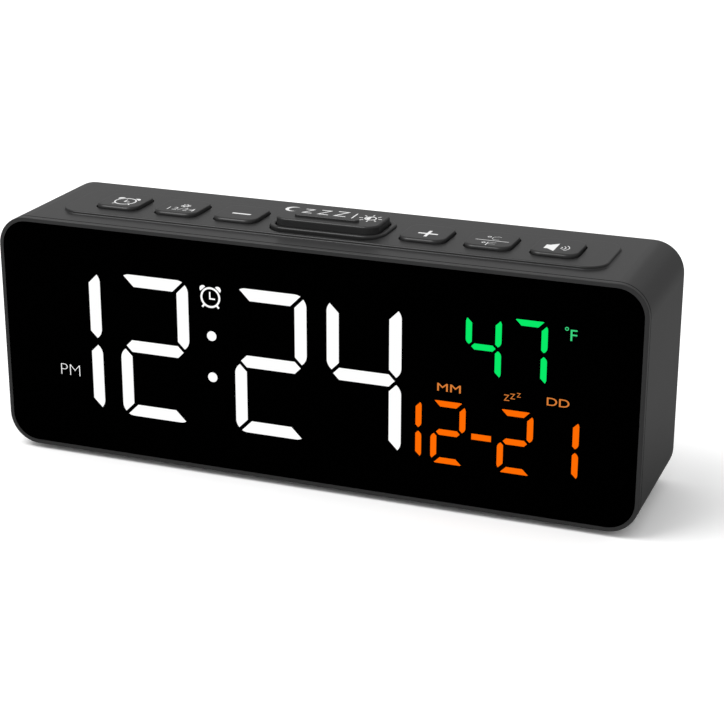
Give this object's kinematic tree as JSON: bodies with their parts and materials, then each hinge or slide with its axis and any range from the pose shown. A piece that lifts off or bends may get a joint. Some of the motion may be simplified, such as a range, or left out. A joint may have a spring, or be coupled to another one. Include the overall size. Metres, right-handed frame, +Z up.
{
  "type": "digital clock",
  "caption": "Bedside digital clock: rounded dark case, black lens over lit time, temperature and date digits, push keys and a tall snooze bar on top, coin cell and power inlet at the back.",
  "frame": {"origin": "middle of the footprint, on the surface that the feet stand on", "axes": "+X along the display from left to right as a reader sees it, +Y from the display to the back, +Z up"},
  "size_m": [0.1856, 0.043, 0.0735],
  "materials": {
    "case_grey": "fine satin moulded plastic",
    "cover_grey": "fine satin moulded plastic",
    "key_grey": "fine satin moulded plastic",
    "lens_black": "polished smoked plastic that looks black",
    "tape_black": "foam tape",
    "reflector_black": "matt black",
    "diffuser_white": "milky resin",
    "diffuser_green": "milky resin",
    "diffuser_orange": "milky resin",
    "board_green": "solder mask",
    "screw_steel": "zinc plated",
    "chip_black": "moulded",
    "capacitor_can": "bare can",
    "socket_white": "moulded",
    "cell_steel": "nickel plated",
    "basket_black": "painted sheet",
    "magnet_dark": "ferrite",
    "cone_fibre": "pressed fibre",
    "bead_dark": "dipped bead",
    "lead_black": "smooth sheath",
    "foot_rubber": "matt rubber"
  },
  "bodies": {
    "case": {"main_housing": "case_grey", "front_bezel": "case_grey", "rear_cover": "cover_grey", "display_lens": "lens_black", "lens_tape": "tape_black", "display_reflector": "reflector_black", "time_segments": "diffuser_white", "temperature_segments": "diffuser_green", "date_segments": "diffuser_orange", "segment_lamps": "diffuser_white", "display_board": "board_green", "key_board": "board_green", "power_board": "board_green", "display_screws": "screw_steel", "key_board_screws": "screw_steel", "power_board_screws": "screw_steel", "rear_cover_screws": "screw_steel", "speaker_screws": "screw_steel", "processor_chip": "chip_black", "power_capacitor": "capacitor_can", "push_switches": "chip_black", "ribbon_sockets": "socket_white", "lead_sockets": "socket_white", "ribbon_cable": "socket_white", "coin_cell": "cell_steel", "cell_contact_minus": "cell_steel", "cell_contact_plus": "cell_steel", "speaker_basket": "basket_black", "speaker_magnet": "magnet_dark", "speaker_cone": "cone_fibre", "power_inlet_shell": "cell_steel", "power_inlet_tongue": "chip_black", "temperature_sensor": "bead_dark", "power_lead": "lead_black", "speaker_lead": "lead_black", "cell_leads": "lead_black", "rubber_feet": "foot_rubber"},
    "alarm_button": {"alarm_key": "key_grey", "alarm_plunger": "chip_black"},
    "set_button": {"set_key": "key_grey", "set_plunger": "chip_black"},
    "minus_button": {"minus_key": "key_grey", "minus_plunger": "chip_black"},
    "snooze_button": {"snooze_key": "key_grey", "snooze_plunger": "chip_black"},
    "plus_button": {"plus_key": "key_grey", "plus_plunger": "chip_black"},
    "temperature_button": {"temperature_key": "key_grey", "temperature_plunger": "chip_black"},
    "volume_button": {"volume_key": "key_grey", "volume_plunger": "chip_black"},
    "battery_door": {"battery_cap": "cover_grey"}
  },
  "joints": [
    {"name": "alarm_press", "type": "slide", "parent": "case", "child": "alarm_button", "axis": [0, 0, -1], "range_m": [0, 0.0005], "stiffness_N_per_m": 600},
    {"name": "set_press", "type": "slide", "parent": "case", "child": "set_button", "axis": [0, 0, -1], "range_m": [0, 0.0005], "stiffness_N_per_m": 600},
    {"name": "minus_press", "type": "slide", "parent": "case", "child": "minus_button", "axis": [0, 0, -1], "range_m": [0, 0.0005], "stiffness_N_per_m": 600},
    {"name": "snooze_press", "type": "slide", "parent": "case", "child": "snooze_button", "axis": [0, 0, -1], "range_m": [0, 0.0005], "stiffness_N_per_m": 600},
    {"name": "plus_press", "type": "slide", "parent": "case", "child": "plus_button", "axis": [0, 0, -1], "range_m": [0, 0.0005], "stiffness_N_per_m": 600},
    {"name": "temperature_press", "type": "slide", "parent": "case", "child": "temperature_button", "axis": [0, 0, -1], "range_m": [0, 0.0005], "stiffness_N_per_m": 600},
    {"name": "volume_press", "type": "slide", "parent": "case", "child": "volume_button", "axis": [0, 0, -1], "range_m": [0, 0.0005], "stiffness_N_per_m": 600},
    {"name": "battery_turn", "type": "hinge", "parent": "case", "child": "battery_door", "pos_m": [-0.052, 0.0205, 0.0354], "axis": [0, 1, 0], "range_deg": [0, 50]}
  ]
}
